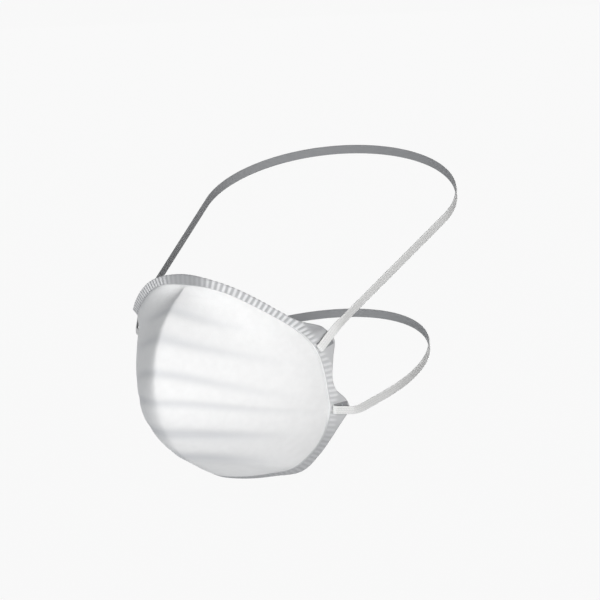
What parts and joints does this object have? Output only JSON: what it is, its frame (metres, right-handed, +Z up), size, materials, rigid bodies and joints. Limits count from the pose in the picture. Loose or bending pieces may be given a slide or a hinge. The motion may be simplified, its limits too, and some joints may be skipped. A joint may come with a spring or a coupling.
{
  "type": "moulded cup respirator",
  "caption": "White moulded fibre cup respirator with a soft keel, level grooves, a pressed rim flange with strap tabs, and elastic head straps in their worn form.",
  "frame": {"origin": "middle of the face opening, where the rim sits on the wearer's face; mount face_seat", "axes": "+Z up, +X to the wearer's left, +Y from the mask's front towards the back of the head, -Y the front"},
  "size_m": [0.1476, 0.2158, 0.1416],
  "materials": {
    "cup_fibre": "matt white moulded nonwoven",
    "elastic_braid": "matt off-white braided elastic",
    "staple_wire": "bright drawn wire"
  },
  "bodies": {
    "root": {"filter_cup": "cup_fibre", "upper_strap": "elastic_braid", "lower_strap": "elastic_braid", "upper_left_staple": "staple_wire", "upper_right_staple": "staple_wire", "lower_left_staple": "staple_wire", "lower_right_staple": "staple_wire"}
  },
  "joints": []
}
